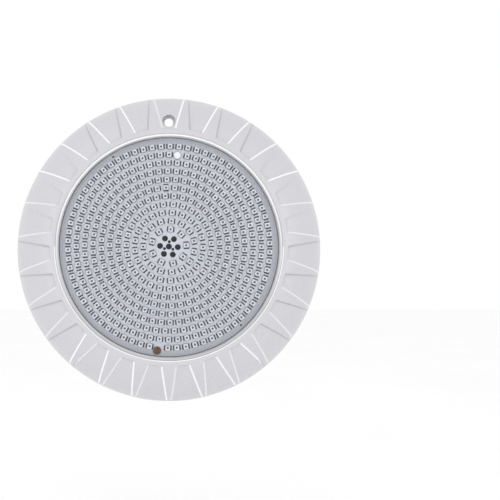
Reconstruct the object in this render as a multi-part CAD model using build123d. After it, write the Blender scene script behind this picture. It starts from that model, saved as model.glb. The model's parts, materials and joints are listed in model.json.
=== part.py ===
from build123d import *
import os
from math import cos, hypot, pi, radians, sin

# Underwater pool light: a resin-filled LED lamp that hangs on a wall bracket.
#
# The pieces are drawn in the lamp's own frame: Z runs out of the wall along the lamp's axis,
# Y is up and Z = 0 is the wall. save() turns them into the row frame, where +Z is up, the wall is
# the plane Y = 0 and the light shines along -Y. Angles round the face are clock angles: degrees
# clockwise from twelve o'clock as seen from the front. All lengths are in millimetres.

# ---- driving dimensions -------------------------------------------------------------------------
OUTER_RADIUS = 145.0
DEPTH = 55.0
WINDOW_RADIUS = 103.0

# face ring
RIM_GAP = 3.0               # the ring's back edge stands this far off the wall
RIM_HEIGHT = 8.0            # where the dome's side becomes upright
RING_WALL = 3.0
COLLAR_EDGE = 0.8
COLLAR_RADIUS = 105.5       # where the flat collar turns into the dome
SKIRT_WALL = 3.0
SKIRT_BACK = 30.0
RIB_COUNT = 27
RIB_ROOT_RADIUS = 107.0
RIB_ROOT_WIDTH = 13.4
RIB_TIP_WIDTH = 3.4
PANEL_DEPTH = 1.8           # how far the panels lie below the ribs at the collar
PANEL_TIP_DEPTH = 0.5
PANEL_END = 12.0            # the panels run down to this height above the wall
DOME_SPREAD = 1.3           # exponents of the dome's curve, across and along the axis
DOME_RISE = 2.28
DOME_POINTS = 7

# the screw hole at twelve o'clock
FIXING_RADIUS = 115.4
FIXING_HOLE = 4.1
FIXING_MOUTH = 6.0
FIXING_SEAT = 42.0
FIXING_FLOOR = 2.5
FIXING_CUP_WALL = 2.0

# housing
HOUSING_RADIUS = 102.7
HOUSING_INSIDE = 99.4
HOUSING_BACK = 22.0
HOUSING_FLOOR = 3.0
HOUSING_FRONT = 54.3
HOUSING_HEEL = 3.0          # rounding of the back edge
HOUSING_LIP = 1.2           # rounding of both front edges
LUG_COUNT = 8
LUG_RADIUS = 116.0
LUG_HALF_WIDTH = 7.0
LUG_THICKNESS = 3.0

# the self-tapping screws of the lugs and the hooks, and the bosses they bite into
BOSS_RADIUS = 4.5
SCREW_RADIUS = 1.9
SCREW_HOLE = 1.95
SCREW_PLAY = 0.3            # how much wider the holes in the lugs and the hooks are
SCREW_LENGTH = 9.0          # how far they reach into the bosses
SCREW_HOLE_SPARE = 2.0
PAN_RADIUS = 3.9
PAN_HEIGHT = 2.4
PAN_ROUNDING = 1.0
RECESS_ARM = 2.3            # half the length of the cross recess in the head
RECESS_HALF_WIDTH = 0.5
RECESS_DEPTH = 1.0

# LED board
BOARD_RADIUS = 98.9
BOARD_FRONT = 51.4
BOARD_THICKNESS = 1.6
LED_SIZE = 5.0
LED_HEIGHT = 1.6
LED_CAVITY = 1.9
LED_CAVITY_DEPTH = 0.5
LED_COUNTS = [9, 15, 21, 27, 36, 42, 48, 54, 57, 64, 70]
FIRST_RING = 15.7
RING_PITCH = 7.55
FIRST_LED = 5.8             # clock angle of the first LED of every ring
TURNED_RING = 6             # one LED of this ring is fitted a quarter turn round
VENT_RADIUS = 2.7
VENT_CIRCLE = 8.05
VENT_ANGLE = -26.0
PIN_VENT_RADIUS = 1.35
PIN_VENT_CIRCLE = 4.4
PIN_VENT_ANGLE = 5.0
LOCATOR_RADIUS = 0.95
LOCATORS = [(96.0, -31.9), (96.0, 137.5)]
PLUG = (83.2, 5.3)          # radius and clock angle on the board
PLUG_RADIUS = 3.1
PLUG_TAIL = 2.0             # how far the plug reaches behind the board
CUTOUT = (94.1, 186.5)
CUTOUT_RADIUS = 3.65
CUTOUT_HEIGHT = 1.5

# front resin
RESIN_FRONT = 53.8
RESIN_CLEARANCE = 0.3

# driver
DRIVER_CENTRE = (0.0, 46.0)
DRIVER_SIZE = (90.0, 56.0, 1.6)
DRIVER_BACK = 30.0
DRIVER_FRONT = DRIVER_BACK + DRIVER_SIZE[2]
DRIVER_POST = (39.0, 22.0)  # half spacing of the four posts
DRIVER_POST_RADIUS = 3.5
DRIVER_PILOT = 1.3
DRIVER_HOLE = 1.6
DRIVER_SCREW = (1.25, 6.0)  # radius and reach behind the board's front
DRIVER_HEAD = (2.8, 1.8)    # radius and height
POCKET_FRONT = 45.0
POCKET_MARGIN = 1.0
BRIDGE = (9.0, 9.0, 4.6)
BRIDGE_PLACES = [(-18.0, -17.0), (-4.0, -17.0)]
CAPACITOR = (5.0, 12.0)     # radius and height
CAPACITOR_PLACES = [(12.0, 10.0), (27.0, 10.0)]
TOROID = (8.5, 3.5, 8.0)    # outer radius, inner radius and height
TOROID_PLACE = (-14.0, 10.0)
CHIP = (6.0, 5.0, 1.6)
CHIP_PLACES = [(6.0, -3.0), (18.0, -3.0), (30.0, -3.0)]
TERMINAL = (16.0, 9.0, 9.0)
TERMINAL_PLACE = (22.0, -20.0)
TERMINAL_WAYS = [(18.0, -19.0), (26.0, -19.0)]
TERMINAL_WELL = (2.2, 3.0)  # radius and depth
TERMINAL_ENTRY = (1.6, 5.0)  # radius and length
WIRE_RADIUS = 0.9
WIRE_PLACES = [(-34.0, 30.0), (-29.0, 30.0)]

# cable gland
GLAND_THREAD = 10.0         # radius of the threads that pass through the housing's floor
GLAND_THREAD_FRONT = 31.0
GLAND_BORE = 6.0
GLAND_ACROSS_FLATS = 24.0
GLAND_SHOULDER = (17.0, 20.8)
GLAND_SLEEVE = 9.6          # radius of the threads the nut turns on
GLAND_SLEEVE_BACK = 9.0
O_RING_FIT = 0.1
LOCKNUT_FLATS = 26.0
LOCKNUT_HEIGHT = 4.5
LOCKNUT_ROOM = (16.0, 8.0)  # radius and height of the space left round the locknut
SEAL = (8.6, 16.4)
SEAL_RADIUS = 8.0
SEAL_FIT = 0.05
CABLE_HOLE = 4.6
NUT_FLATS = (8.6, 16.9)
NUT_FIT = 0.05
NUT_DOME = (11.4, 5.6)      # radius and back
NUT_DOME_ROUNDING = 2.4
NUT_MOUTH = 6.4

# wall bracket and hinge
PLATE = 4.0
PLATE_HALF_WIDTH = 26.0
PLATE_TOP = 92.0
PLATE_FOOT = -131.0
PLATE_CORNER = 4.0
DISC_RADIUS = 56.0
CABLE_OPENING = 30.0
STIFFENER = (3.0, 3.0)      # width and height of the ribs and the rim that stand on the plate
STIFFENER_GAP = 10.0        # between the rim of the cable opening and the ribs
LOWER_STIFFENER_END = 30.0  # above the plate's foot
UPPER_STIFFENER_END = 6.0   # below the plate's top
WALL_SCREW_SPACING = 64.0
WALL_SCREW_HOLE = 2.75
WALL_SCREW_SINK = (6.2, 1.2)    # radius and depth of the countersink's mouth and cone
REST_POST = (18.0, 80.0)
REST_POST_RADIUS = 6.0
REST_GAP = 0.3
PIN_RADIUS = 2.0
PIN_FIT = 0.05
PIN_Y = -127.5
PIN_Z = 7.0
PIN_HEAD = (3.4, 2.0)       # radius and thickness
PIN_TAIL = 3.0              # how far the pin reaches past the ears
PIN_SIDE_PLAY = 0.1
CLIP_GROOVE = (0.2, 1.2, 0.5)   # near, far and depth, from the outside of the ear
CLIP_RADIUS = 3.4
CLIP_THICKNESS = 0.9
CLIP_HALF_MOUTH = 1.3
EAR_INSIDE = 22.0
EAR_RADIUS = 4.0
EAR_SLOT_INSET = 1.5        # the ears' roots stand out this far into the slot between them
EAR_SLOT_TOP = 16.0         # above the pin, so that the hooks can be lifted off
HOOK_INSIDE = 8.0
HOOK_OUTSIDE = 19.0
HOOK_LEG = 4.5              # how far the hook's back leg reaches below the pin's centre
HOOK_HEAD = 6.5             # and how far the hook reaches above it
HOOK_BACK = 1.5
HOOK_SEAT = PIN_RADIUS + PIN_FIT
HANGER_BACK = PIN_Z + HOOK_SEAT
HANGER_FRONT = 13.0
HANGER_TOP = -110.5
HANGER_SCREW = (12.0, -115.5)
CLEAR = 30.0                # past everything that a cross cut goes through


# ---- helpers ------------------------------------------------------------------------------------
def clock(radius, angle):
    """The X and Y of a point on the face at this radius and clock angle."""
    return radius * sin(radians(angle)), radius * cos(radians(angle))


def rod(radius, low, high, x=0.0, y=0.0):
    """A round bar along Z from low to high."""
    return Pos(x, y, low) * Cylinder(radius, high - low, align=(Align.CENTER, Align.CENTER, Align.MIN))


def block(x, y, z):
    """A box between the low and high of each pair."""
    size = Box(x[1] - x[0], y[1] - y[0], z[1] - z[0])
    return Pos((x[0] + x[1]) / 2, (y[0] + y[1]) / 2, (z[0] + z[1]) / 2) * size


def hexagon(across_flats, low, high):
    """A hexagonal bar along Z from low to high."""
    outline = RegularPolygon(across_flats / 2, 6, major_radius=False)
    return Pos(0, 0, low) * extrude(outline, high - low)


def cross_bar(radius, low, high):
    """A round bar along X at the hinge axis."""
    bar = Cylinder(radius, high - low, rotation=(0, 90, 0), align=Align.CENTER)
    return Pos((low + high) / 2, PIN_Y, PIN_Z) * bar


def ring(inner, outer, low, high):
    return rod(outer, low, high) - rod(inner, low - 1, high + 1)


def save(name, shape):
    """Write one node, turned from the lamp's frame into the row's."""
    pieces = Rot(90, 0, 0) * shape
    export_step(pieces, f"parts/{name}.step")


# ---- face ring ----------------------------------------------------------------------------------
def dome_curve(inner, top, outer, foot):
    """The dome's section: flat where it leaves the collar, upright where it meets the rim."""
    points = []
    for i in range(DOME_POINTS):
        angle = pi / 2 * (1 - i / (DOME_POINTS - 1))
        across = max(cos(angle), 0.0) ** (2 / DOME_SPREAD)
        along = sin(angle) ** (2 / DOME_RISE)
        points.append((inner + (outer - inner) * across, foot + (top - foot) * along))
    return Spline(*points, tangents=[(1, 0), (0, -1)])


def ring_blank():
    """The ring before it is hollowed: collar, dome and rim."""
    with BuildPart() as blank:
        with BuildSketch(Plane.XZ):
            with BuildLine():
                dome = dome_curve(COLLAR_RADIUS, DEPTH, OUTER_RADIUS, RIM_HEIGHT)
                Line(dome @ 1, (OUTER_RADIUS, RIM_GAP))
                Line((OUTER_RADIUS, RIM_GAP), (WINDOW_RADIUS, RIM_GAP))
                Line((WINDOW_RADIUS, RIM_GAP), (WINDOW_RADIUS, DEPTH - COLLAR_EDGE))
                centre = (WINDOW_RADIUS + COLLAR_EDGE, DEPTH - COLLAR_EDGE)
                CenterArc(centre, COLLAR_EDGE, 90, 90)
                Line((WINDOW_RADIUS + COLLAR_EDGE, DEPTH), dome @ 0)
            make_face()
        revolve(axis=Axis.Z)
    return blank.part


def ring_hollow():
    """The space behind the ring, outside the skirt that holds the housing."""
    inside = OUTER_RADIUS - RING_WALL
    skirt = WINDOW_RADIUS + SKIRT_WALL
    top = DEPTH - PANEL_DEPTH - 2.7
    with BuildPart() as hollow:
        with BuildSketch(Plane.XZ):
            with BuildLine():
                dome = dome_curve(skirt + 2, top, inside, RIM_HEIGHT)
                Line(dome @ 1, (inside, RIM_GAP - 1))
                Line((inside, RIM_GAP - 1), (WINDOW_RADIUS - 1, RIM_GAP - 1))
                Line((WINDOW_RADIUS - 1, RIM_GAP - 1), (WINDOW_RADIUS - 1, SKIRT_BACK))
                Line((WINDOW_RADIUS - 1, SKIRT_BACK), (skirt, SKIRT_BACK))
                Line((skirt, SKIRT_BACK), (skirt, top))
                Line((skirt, top), dome @ 0)
            make_face()
        revolve(axis=Axis.Z)
    return hollow.part


def panels():
    """What is taken off the dome between the ribs."""
    above = DEPTH + 3
    outside = OUTER_RADIUS + 3
    with BuildPart() as shell:
        with BuildSketch(Plane.XZ):
            with BuildLine():
                tip = OUTER_RADIUS - PANEL_TIP_DEPTH
                floor = dome_curve(RIB_ROOT_RADIUS, DEPTH - PANEL_DEPTH - 0.2, tip, PANEL_END)
                Line(floor @ 1, (outside, PANEL_END))
                Line((outside, PANEL_END), (outside, above))
                Line((outside, above), (RIB_ROOT_RADIUS, above))
                Line((RIB_ROOT_RADIUS, above), floor @ 0)
            make_face()
        revolve(axis=Axis.Z)
    root = RIB_ROOT_WIDTH / 2
    tip = RIB_TIP_WIDTH / 2
    wedge = Polygon((-root, RIB_ROOT_RADIUS - 2), (root, RIB_ROOT_RADIUS - 2), (tip, OUTER_RADIUS + 4),
                    (-tip, OUTER_RADIUS + 4), align=None)
    rib = extrude(wedge, DEPTH + 10)
    pitch = 360 / RIB_COUNT
    ribs = [Rot(0, 0, -(i + 0.5) * pitch) * rib for i in range(RIB_COUNT)]
    return shell.part - ribs


def lug_angles():
    return [(i + 0.5) * 360 / LUG_COUNT for i in range(LUG_COUNT)]


def face_ring():
    bosses = [rod(BOSS_RADIUS, SKIRT_BACK, DEPTH, *clock(LUG_RADIUS, a)) for a in lug_angles()]
    for side in (-1, 1):
        bosses.append(rod(BOSS_RADIUS, HANGER_FRONT, DEPTH, side * HANGER_SCREW[0], HANGER_SCREW[1]))
    cup = rod(FIXING_MOUTH + FIXING_CUP_WALL, FIXING_SEAT - FIXING_FLOOR, DEPTH, 0, FIXING_RADIUS)
    shape = ring_blank() - (ring_hollow() - bosses - cup)
    shape -= panels()
    shape -= rod(FIXING_HOLE, 0, DEPTH, 0, FIXING_RADIUS)
    shape -= rod(FIXING_MOUTH, FIXING_SEAT, DEPTH + 1, 0, FIXING_RADIUS)
    reach = SCREW_LENGTH + SCREW_HOLE_SPARE
    for a in lug_angles():
        shape -= rod(SCREW_HOLE, SKIRT_BACK - 1, SKIRT_BACK + reach, *clock(LUG_RADIUS, a))
    for side in (-1, 1):
        x, y = side * HANGER_SCREW[0], HANGER_SCREW[1]
        shape -= rod(SCREW_HOLE, HANGER_FRONT - 1, HANGER_FRONT + reach, x, y)
    return shape


# ---- housing ------------------------------------------------------------------------------------
def driver_posts():
    cx, cy = DRIVER_CENTRE
    px, py = DRIVER_POST
    return [(cx + sx * px, cy + sy * py) for sx in (-1, 1) for sy in (-1, 1)]


def lamp_housing():
    """The cup that holds the board and the resin, with lugs that screw to the ring's bosses."""
    floor = HOUSING_BACK + HOUSING_FLOOR
    shape = rod(HOUSING_RADIUS, HOUSING_BACK, HOUSING_FRONT)
    shape = fillet(shape.edges().group_by(Axis.Z)[0], HOUSING_HEEL)
    shape -= rod(HOUSING_INSIDE, floor, HOUSING_FRONT + 1)
    rim = shape.edges().filter_by(GeomType.CIRCLE).group_by(Axis.Z)[-1]
    shape = fillet(rim, HOUSING_LIP)
    lug_back = SKIRT_BACK - LUG_THICKNESS
    root = HOUSING_RADIUS - 1.5
    for a in lug_angles():
        arm = block((-LUG_HALF_WIDTH, LUG_HALF_WIDTH), (root, LUG_RADIUS), (lug_back, SKIRT_BACK))
        lug = Rot(0, 0, -a) * (arm + rod(LUG_HALF_WIDTH, lug_back, SKIRT_BACK, 0, LUG_RADIUS))
        shape += lug - rod(SCREW_HOLE + SCREW_PLAY, 0, DEPTH, *clock(LUG_RADIUS, a))
    for x, y in driver_posts():
        shape += rod(DRIVER_POST_RADIUS, floor - 0.5, DRIVER_BACK, x, y)
        shape -= rod(DRIVER_PILOT, floor, DRIVER_BACK + 1, x, y)
    return shape - rod(GLAND_THREAD + 0.1, 0, DEPTH)


def self_tapper(seat, x, y, length):
    """A pan-head screw driven from the back: its head sits behind the seat, its shank before it."""
    back = seat - PAN_HEIGHT
    pan = fillet(rod(PAN_RADIUS, back, seat, x, y).edges().group_by(Axis.Z)[0], PAN_ROUNDING)
    recess = (back - 1, back + RECESS_DEPTH)
    arm = (-RECESS_ARM, RECESS_ARM)
    slot = (-RECESS_HALF_WIDTH, RECESS_HALF_WIDTH)
    cross = Pos(x, y, 0) * (block(slot, arm, recess) + block(arm, slot, recess))
    return pan + rod(SCREW_RADIUS, seat - 0.5, seat + length, x, y) - cross


def housing_screws():
    seat = SKIRT_BACK - LUG_THICKNESS
    length = SCREW_LENGTH + LUG_THICKNESS
    return [self_tapper(seat, *clock(LUG_RADIUS, a), length) for a in lug_angles()]


# ---- LED board and what stands on it ------------------------------------------------------------
def vents():
    """Centres and radii of the holes in the middle of the board."""
    holes = [(0.0, 0.0, VENT_RADIUS)]
    for i in range(6):
        holes.append((*clock(VENT_CIRCLE, VENT_ANGLE + 60 * i), VENT_RADIUS))
    for i in range(3):
        holes.append((*clock(PIN_VENT_CIRCLE, PIN_VENT_ANGLE + 120 * i), PIN_VENT_RADIUS))
    return holes


def led_board():
    back = BOARD_FRONT - BOARD_THICKNESS
    shape = rod(BOARD_RADIUS, back, BOARD_FRONT)
    for x, y, radius in vents():
        shape -= rod(radius, 0, DEPTH, x, y)
    for place in LOCATORS:
        shape -= rod(LOCATOR_RADIUS, 0, DEPTH, *clock(*place))
    return shape - rod(PLUG_RADIUS + 0.1, 0, DEPTH, *clock(*PLUG))


def led():
    """One LED with its round cavity, standing on the board at the lamp's axis."""
    top = BOARD_FRONT + LED_HEIGHT
    half = LED_SIZE / 2
    package = block((-half, half), (-half, half), (BOARD_FRONT, top))
    return package - rod(LED_CAVITY, top - LED_CAVITY_DEPTH, top + 1)


def is_free(x, y):
    """False where the fill plug or the thermal cut-out stands in an LED's place."""
    for place, radius in ((PLUG, PLUG_RADIUS), (CUTOUT, CUTOUT_RADIUS)):
        px, py = clock(*place)
        if hypot(x - px, y - py) < radius + LED_SIZE / 2 + 0.5:
            return False
    return True


def led_ring(number):
    count = LED_COUNTS[number - 1]
    radius = FIRST_RING + (number - 1) * RING_PITCH
    one = led()
    pieces = []
    for i in range(count):
        angle = FIRST_LED + i * 360 / count
        x, y = clock(radius, angle)
        if is_free(x, y):
            turn = 90 if number == TURNED_RING and i == count - 1 else 0
            pieces.append(Pos(x, y, 0) * Rot(0, 0, turn - angle) * one)
    return pieces


def fill_plug():
    """The stopper of the hole through which the resin behind the board is poured."""
    x, y = clock(*PLUG)
    low = BOARD_FRONT - BOARD_THICKNESS - PLUG_TAIL
    shape = rod(PLUG_RADIUS, low, BOARD_FRONT + LED_HEIGHT, x, y)
    return fillet(shape.edges().group_by(Axis.Z)[-1], 0.4)


def thermal_cutout():
    x, y = clock(*CUTOUT)
    shape = rod(CUTOUT_RADIUS, BOARD_FRONT, BOARD_FRONT + CUTOUT_HEIGHT, x, y)
    return fillet(shape.edges().group_by(Axis.Z)[-1], 0.5)


def clear_resin():
    """The cast front: a clear slab with a channel over each ring of LEDs."""
    led_top = BOARD_FRONT + LED_HEIGHT + 0.05
    half = LED_SIZE / 2 + 0.25
    shape = rod(HOUSING_INSIDE, BOARD_FRONT, RESIN_FRONT)
    for number in range(1, len(LED_COUNTS) + 1):
        radius = FIRST_RING + (number - 1) * RING_PITCH
        shape -= ring(radius - half, radius + half, BOARD_FRONT - 1, led_top)
    for place, radius in ((PLUG, PLUG_RADIUS), (CUTOUT, CUTOUT_RADIUS)):
        shape -= rod(radius + RESIN_CLEARANCE, BOARD_FRONT - 1, led_top, *clock(*place))
    return shape


# ---- behind the board ---------------------------------------------------------------------------
def rear_potting():
    """The dark resin that fills the housing round the driver and the cable gland."""
    floor = HOUSING_BACK + HOUSING_FLOOR
    top = BOARD_FRONT - BOARD_THICKNESS
    cx, cy = DRIVER_CENTRE
    half_x = DRIVER_SIZE[0] / 2 + POCKET_MARGIN
    half_y = DRIVER_SIZE[1] / 2 + POCKET_MARGIN
    pocket_x = (cx - half_x, cx + half_x)
    pocket_y = (cy - half_y, cy + half_y)
    shape = rod(HOUSING_INSIDE, floor, top) - block(pocket_x, pocket_y, (floor - 1, POCKET_FRONT))
    for x, y in WIRE_PLACES:
        shape -= rod(WIRE_RADIUS + 0.1, POCKET_FRONT - 1, top + 1, x, y)
    shape -= rod(PLUG_RADIUS + 0.1, top - PLUG_TAIL - 0.1, top + 1, *clock(*PLUG))
    return shape - rod(LOCKNUT_ROOM[0], floor - 1, floor + LOCKNUT_ROOM[1])


def driver_board():
    cx, cy = DRIVER_CENTRE
    width, height, _ = DRIVER_SIZE
    shape = block((cx - width / 2, cx + width / 2), (cy - height / 2, cy + height / 2),
                  (DRIVER_BACK, DRIVER_FRONT))
    for x, y in driver_posts():
        shape -= rod(DRIVER_HOLE, 0, DEPTH, x, y)
    return shape


def driver_screws():
    """Pan-head screws that hold the driver board on the housing's posts."""
    head_radius, head_height = DRIVER_HEAD
    radius, reach = DRIVER_SCREW
    front = DRIVER_FRONT + head_height
    shapes = []
    for x, y in driver_posts():
        head = rod(head_radius, DRIVER_FRONT, front, x, y)
        head = fillet(head.edges().group_by(Axis.Z)[-1], 0.7)
        slot = block((x - 2, x + 2), (y - 0.4, y + 0.4), (front - 0.8, front + 1))
        shapes.append(head + rod(radius, DRIVER_FRONT - reach, DRIVER_FRONT + 0.5, x, y) - slot)
    return shapes


def on_driver(place, size):
    """A block that stands on the driver board at this place from its centre."""
    x = DRIVER_CENTRE[0] + place[0]
    y = DRIVER_CENTRE[1] + place[1]
    width, length, height = size
    return block((x - width / 2, x + width / 2), (y - length / 2, y + length / 2),
                 (DRIVER_FRONT, DRIVER_FRONT + height))


def rod_on_driver(radius, low, high, place):
    """A round bar over the driver board, its heights taken from the board's front."""
    x = DRIVER_CENTRE[0] + place[0]
    y = DRIVER_CENTRE[1] + place[1]
    return rod(radius, DRIVER_FRONT + low, DRIVER_FRONT + high, x, y)


def bridge_rectifiers():
    bodies = [on_driver(place, BRIDGE) for place in BRIDGE_PLACES]
    return [chamfer(body.edges().group_by(Axis.Z)[-1], 0.8) for body in bodies]


def capacitors():
    radius, height = CAPACITOR
    cans = [rod_on_driver(radius, 0, height, place) for place in CAPACITOR_PLACES]
    return [fillet(can.edges().group_by(Axis.Z)[-1], 0.8) for can in cans]


def inductor():
    """A toroid that lies flat on the driver board."""
    outer, inner, height = TOROID
    shape = rod_on_driver(outer, 0, height, TOROID_PLACE)
    shape -= rod_on_driver(inner, -1, height + 1, TOROID_PLACE)
    return fillet(shape.edges().filter_by(GeomType.CIRCLE), 1.5)


def driver_chips():
    return [on_driver(place, CHIP) for place in CHIP_PLACES]


def terminal_block():
    body = on_driver(TERMINAL_PLACE, TERMINAL)
    height = TERMINAL[2]
    well_radius, well_depth = TERMINAL_WELL
    entry_radius, entry_length = TERMINAL_ENTRY
    mouth = DRIVER_CENTRE[1] + TERMINAL_PLACE[1] - TERMINAL[1] / 2
    for place in TERMINAL_WAYS:
        body -= rod_on_driver(well_radius, height - well_depth, height + 1, place)
        entry = Cylinder(entry_radius, entry_length, rotation=(90, 0, 0))
        body -= Pos(DRIVER_CENTRE[0] + place[0], mouth, DRIVER_FRONT + height / 3) * entry
    return body


def terminal_screws():
    """Slotted screws sunk in the terminal block's wells."""
    height = TERMINAL[2]
    low = height - TERMINAL_WELL[1]
    shapes = []
    for place in TERMINAL_WAYS:
        screw = rod_on_driver(TERMINAL_WELL[0] - 0.1, low, height - 0.6, place)
        x = DRIVER_CENTRE[0] + place[0]
        y = DRIVER_CENTRE[1] + place[1]
        slot_floor = DRIVER_FRONT + height - 1.4
        shapes.append(screw - block((x - 2, x + 2), (y - 0.3, y + 0.3), (slot_floor, slot_floor + 2)))
    return shapes


def board_wire(place):
    """A solid-core link from the driver board up to the back of the LED board."""
    return rod(WIRE_RADIUS, DRIVER_FRONT, BOARD_FRONT - BOARD_THICKNESS, *place)


# ---- cable gland --------------------------------------------------------------------------------
def gland_body():
    low, high = GLAND_SHOULDER
    shape = rod(GLAND_THREAD, low, GLAND_THREAD_FRONT) + hexagon(GLAND_ACROSS_FLATS, low, high)
    shape += rod(GLAND_SLEEVE, GLAND_SLEEVE_BACK, low + 0.5)
    shape -= rod(GLAND_BORE, low - 1, DEPTH)
    return shape - rod(SEAL_RADIUS + SEAL_FIT, 0, SEAL[1] + 0.1)


def gland_o_ring():
    return ring(GLAND_THREAD + O_RING_FIT, GLAND_ACROSS_FLATS / 2, GLAND_SHOULDER[1], HOUSING_BACK)


def gland_locknut():
    floor = HOUSING_BACK + HOUSING_FLOOR
    nut = hexagon(LOCKNUT_FLATS, floor, floor + LOCKNUT_HEIGHT)
    return nut - rod(GLAND_THREAD + NUT_FIT, 0, DEPTH)


def gland_seal():
    return fillet(ring(CABLE_HOLE, SEAL_RADIUS, *SEAL).edges().group_by(Axis.Z)[0], 0.5)


def gland_nut():
    """The nut that squeezes the seal round the cable: its domed back has a wide mouth."""
    low, high = NUT_FLATS
    dome_radius, back = NUT_DOME
    shape = hexagon(GLAND_ACROSS_FLATS, low, high)
    shape += fillet(rod(dome_radius, back, low + 0.2).edges().group_by(Axis.Z)[0], NUT_DOME_ROUNDING)
    shape -= rod(GLAND_SLEEVE + NUT_FIT, low - 0.05, high + 1)
    return shape - rod(NUT_MOUTH, 0, low + 1)


# ---- hanger, hinge pin and wall bracket ---------------------------------------------------------
def hanger_plate():
    """The lamp's two hooks on a plate that screws to the ring's lower bosses."""
    tip = PIN_Y - HOOK_LEG
    shape = block((-HOOK_OUTSIDE, HOOK_OUTSIDE), (tip, HANGER_TOP), (HANGER_BACK, HANGER_FRONT))
    for side in (-1, 1):
        sides = sorted((side * HOOK_INSIDE, side * HOOK_OUTSIDE))
        shape += block(sides, (tip, PIN_Y + HOOK_HEAD), (HOOK_BACK, HANGER_BACK))
        shape -= rod(SCREW_HOLE + SCREW_PLAY, 0, DEPTH, side * HANGER_SCREW[0], HANGER_SCREW[1])
    shape -= cross_bar(HOOK_SEAT, -CLEAR, CLEAR)
    return shape - block((-CLEAR, CLEAR), (tip - 1, PIN_Y), (PIN_Z - HOOK_SEAT, PIN_Z + HOOK_SEAT))


def hanger_screws():
    length = HANGER_FRONT - HANGER_BACK + SCREW_LENGTH
    x, y = HANGER_SCREW
    return [self_tapper(HANGER_BACK, side * x, y, length) for side in (-1, 1)]


def hook_pin():
    """The pin the lamp hangs on, with a head at one end and a clip groove at the other."""
    end = PLATE_HALF_WIDTH + PIN_TAIL
    head_radius, head_thickness = PIN_HEAD
    head = -PLATE_HALF_WIDTH - PIN_SIDE_PLAY
    near, far, depth = CLIP_GROOVE
    shape = cross_bar(PIN_RADIUS, -end, end) + cross_bar(head_radius, head - head_thickness, head)
    groove = cross_bar(PIN_RADIUS + 1, PLATE_HALF_WIDTH + near, PLATE_HALF_WIDTH + far)
    shape -= groove - cross_bar(PIN_RADIUS - depth, PLATE_HALF_WIDTH, end)
    return chamfer(shape.edges().group_by(Axis.X)[-1], 0.4)


def pin_clip():
    """The E-clip that keeps the pin in its ears."""
    near = PLATE_HALF_WIDTH + CLIP_GROOVE[0] + 0.05
    far = near + CLIP_THICKNESS
    shape = cross_bar(CLIP_RADIUS, near, far) - cross_bar(PIN_RADIUS - CLIP_GROOVE[2], near - 1, far + 1)
    mouth = (PIN_Z - CLIP_HALF_MOUTH, PIN_Z + CLIP_HALF_MOUTH)
    return shape - block((near - 1, far + 1), (PIN_Y - CLIP_RADIUS - 1, PIN_Y), mouth)


def bracket_plate():
    """The bracket's plate with its stiffening ribs and the rim of the cable opening."""
    width, height = STIFFENER
    ribs = (PLATE - 1, PLATE + height)
    shape = block((-PLATE_HALF_WIDTH, PLATE_HALF_WIDTH), (PLATE_FOOT, PLATE_TOP), (0, PLATE))
    shape = fillet(shape.edges().filter_by(Axis.Z), PLATE_CORNER)
    shape += rod(DISC_RADIUS, 0, PLATE)
    shape += ring(CABLE_OPENING, CABLE_OPENING + width, 0, PLATE + height)
    inner_end = CABLE_OPENING + STIFFENER_GAP
    for side in (-1, 1):
        edge = sorted((side * (PLATE_HALF_WIDTH - width), side * PLATE_HALF_WIDTH))
        shape += block(edge, (PLATE_FOOT + LOWER_STIFFENER_END, -inner_end), ribs)
        shape += block(edge, (inner_end, PLATE_TOP - UPPER_STIFFENER_END), ribs)
    return shape - rod(CABLE_OPENING, -1, DEPTH)


def wall_bracket():
    """The plate on the wall, with ears for the hook pin and two posts the housing rests against."""
    shape = bracket_plate()
    gap = EAR_INSIDE - EAR_SLOT_INSET
    shape -= block((-gap, gap), (PLATE_FOOT - 1, PIN_Y + EAR_SLOT_TOP), (-1, PLATE + 1))
    for side in (-1, 1):
        sides = sorted((side * EAR_INSIDE, side * PLATE_HALF_WIDTH))
        ear = block(sides, (PIN_Y - EAR_RADIUS, PIN_Y + EAR_RADIUS), (0, PIN_Z))
        shape += ear + cross_bar(EAR_RADIUS, *sides)
        x, y = side * REST_POST[0], REST_POST[1]
        post = rod(REST_POST_RADIUS, 0, HOUSING_BACK - REST_GAP, x, y)
        shape += chamfer(post.edges().group_by(Axis.Z)[-1], 0.8)
    shape -= cross_bar(PIN_RADIUS + PIN_FIT, -CLEAR, CLEAR)
    half = WALL_SCREW_SPACING / 2
    sink_radius, sink_depth = WALL_SCREW_SINK
    for x in (-half, half):
        for y in (-half, half):
            shape -= rod(WALL_SCREW_HOLE, -1, PLATE + 1, x, y)
            shape -= Pos(x, y, PLATE - sink_depth) * Cone(WALL_SCREW_HOLE, sink_radius, 2 * sink_depth)
    return shape


# ---- write every node ---------------------------------------------------------------------------
def nodes():
    shapes = {
        "face_ring": face_ring(),
        "lamp_housing": lamp_housing(),
        "housing_screws": housing_screws(),
        "led_board": led_board(),
        "fill_plug": fill_plug(),
        "thermal_cutout": thermal_cutout(),
        "clear_resin": clear_resin(),
        "rear_potting": rear_potting(),
        "driver_board": driver_board(),
        "driver_screws": driver_screws(),
        "bridge_rectifiers": bridge_rectifiers(),
        "capacitors": capacitors(),
        "inductor": inductor(),
        "driver_chips": driver_chips(),
        "terminal_block": terminal_block(),
        "terminal_screws": terminal_screws(),
        "positive_wire": board_wire(WIRE_PLACES[0]),
        "negative_wire": board_wire(WIRE_PLACES[1]),
        "gland_body": gland_body(),
        "gland_o_ring": gland_o_ring(),
        "gland_locknut": gland_locknut(),
        "gland_seal": gland_seal(),
        "gland_nut": gland_nut(),
        "hanger_plate": hanger_plate(),
        "hanger_screws": hanger_screws(),
        "hook_pin": hook_pin(),
        "pin_clip": pin_clip(),
        "wall_bracket": wall_bracket(),
    }
    for number in range(1, len(LED_COUNTS) + 1):
        shapes[f"led_ring_{number:02d}"] = led_ring(number)
    return shapes


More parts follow.
